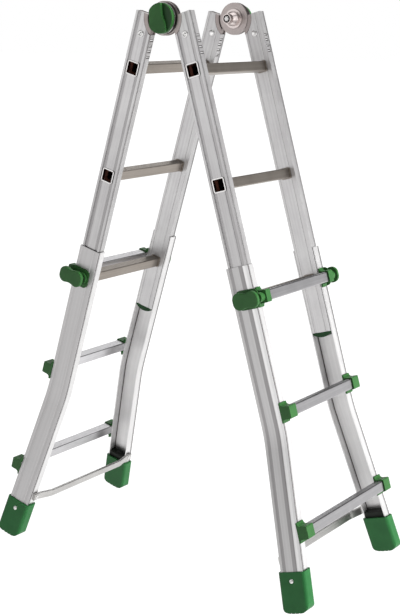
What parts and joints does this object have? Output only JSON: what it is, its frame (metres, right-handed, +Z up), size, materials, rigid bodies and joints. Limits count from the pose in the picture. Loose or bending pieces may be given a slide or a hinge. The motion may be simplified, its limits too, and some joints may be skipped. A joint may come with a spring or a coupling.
{
  "type": "telescopic ladder",
  "caption": "Free-standing hinged step ladder whose flared outer sections slide on straight inner sections, with pull-out stile locks, locking hinges, rung caps and shoes.",
  "frame": {"origin": "on the floor, below the middle of the hinge axis", "axes": "+Z up, Y along the hinge axis and the rungs, half a to -X and half b to +X"},
  "size_m": [0.9546, 0.5124, 1.416],
  "materials": {
    "mill_aluminium": "extruded, lightly brushed",
    "green_plastic": "moulded, satin",
    "zinc_plated_steel": "stamped and zinc plated",
    "bright_steel": "turned, bright",
    "rivet_aluminium": "upset heads"
  },
  "bodies": {
    "inner_a": {"inner_end_plugs_a": "green_plastic", "inner_rung_1_a": "mill_aluminium", "inner_rung_2_a": "mill_aluminium", "inner_rung_3_a": "mill_aluminium", "inner_stile_a_back": "mill_aluminium", "inner_stile_a_front": "mill_aluminium", "hinge_rivets_a": "rivet_aluminium", "hinge_fork_front": "zinc_plated_steel", "hinge_fork_back": "zinc_plated_steel", "hinge_spring_front": "bright_steel", "hinge_spring_back": "bright_steel"},
    "outer_a": {"foot_a_back": "green_plastic", "foot_a_front": "green_plastic", "lock_housing_a_back": "green_plastic", "lock_housing_a_front": "green_plastic", "lock_spring_a_back": "bright_steel", "lock_spring_a_front": "bright_steel", "outer_rivets_a": "rivet_aluminium", "outer_rung_1_a": "mill_aluminium", "outer_rung_2_a": "mill_aluminium", "outer_rung_3_a": "mill_aluminium", "outer_stile_a_back": "mill_aluminium", "outer_stile_a_front": "mill_aluminium", "rung_caps_a": "green_plastic", "stabiliser_bar_a": "mill_aluminium"},
    "inner_b": {"inner_end_plugs_b": "green_plastic", "inner_rung_1_b": "mill_aluminium", "inner_rung_2_b": "mill_aluminium", "inner_rung_3_b": "mill_aluminium", "inner_stile_b_back": "mill_aluminium", "inner_stile_b_front": "mill_aluminium", "hinge_rivets_b": "rivet_aluminium", "hinge_tongue_front": "zinc_plated_steel", "hinge_tongue_back": "zinc_plated_steel"},
    "outer_b": {"foot_b_back": "green_plastic", "foot_b_front": "green_plastic", "lock_housing_b_back": "green_plastic", "lock_housing_b_front": "green_plastic", "lock_spring_b_back": "bright_steel", "lock_spring_b_front": "bright_steel", "outer_rivets_b": "rivet_aluminium", "outer_rung_1_b": "mill_aluminium", "outer_rung_2_b": "mill_aluminium", "outer_rung_3_b": "mill_aluminium", "outer_stile_b_back": "mill_aluminium", "outer_stile_b_front": "mill_aluminium", "rung_caps_b": "green_plastic", "stabiliser_bar_b": "mill_aluminium"},
    "lock_a_front": {"lock_handle_a_front": "green_plastic", "lock_bolt_a_front": "bright_steel"},
    "lock_a_back": {"lock_handle_a_back": "green_plastic", "lock_bolt_a_back": "bright_steel"},
    "lock_b_front": {"lock_handle_b_front": "green_plastic", "lock_bolt_b_front": "bright_steel"},
    "lock_b_back": {"lock_handle_b_back": "green_plastic", "lock_bolt_b_back": "bright_steel"},
    "hinge_lock_front": {"hinge_knob_front": "green_plastic", "hinge_bolt_front": "bright_steel"},
    "hinge_lock_back": {"hinge_knob_back": "green_plastic", "hinge_bolt_back": "bright_steel"}
  },
  "joints": [
    {"name": "fold", "type": "hinge", "parent": "inner_a", "child": "inner_b", "pos_m": [0, 0, 1.37502], "axis": [0, -1, 0], "range_deg": [-32, 148]},
    {"name": "telescope_a", "type": "slide", "parent": "inner_a", "child": "outer_a", "axis": [0.2756, 0, 0.9613], "range_m": [0, 0.56]},
    {"name": "telescope_b", "type": "slide", "parent": "inner_b", "child": "outer_b", "axis": [-0.2756, 0, 0.9613], "range_m": [0, 0.56]},
    {"name": "lock_a_front_pull", "type": "slide", "parent": "outer_a", "child": "lock_a_front", "axis": [0, -1, 0], "range_m": [-0.011, 0], "stiffness_N_per_m": 400, "springref_m": -0.03},
    {"name": "lock_a_back_pull", "type": "slide", "parent": "outer_a", "child": "lock_a_back", "axis": [0, 1, 0], "range_m": [-0.011, 0], "stiffness_N_per_m": 400, "springref_m": -0.03},
    {"name": "lock_b_front_pull", "type": "slide", "parent": "outer_b", "child": "lock_b_front", "axis": [0, -1, 0], "range_m": [-0.011, 0], "stiffness_N_per_m": 400, "springref_m": -0.03},
    {"name": "lock_b_back_pull", "type": "slide", "parent": "outer_b", "child": "lock_b_back", "axis": [0, 1, 0], "range_m": [-0.011, 0], "stiffness_N_per_m": 400, "springref_m": -0.03},
    {"name": "hinge_knob_front_pull", "type": "slide", "parent": "inner_a", "child": "hinge_lock_front", "axis": [0, -1, 0], "range_m": [-0.005, 0], "stiffness_N_per_m": 800, "springref_m": -0.02},
    {"name": "hinge_knob_back_pull", "type": "slide", "parent": "inner_a", "child": "hinge_lock_back", "axis": [0, 1, 0], "range_m": [-0.005, 0], "stiffness_N_per_m": 800, "springref_m": -0.02}
  ]
}
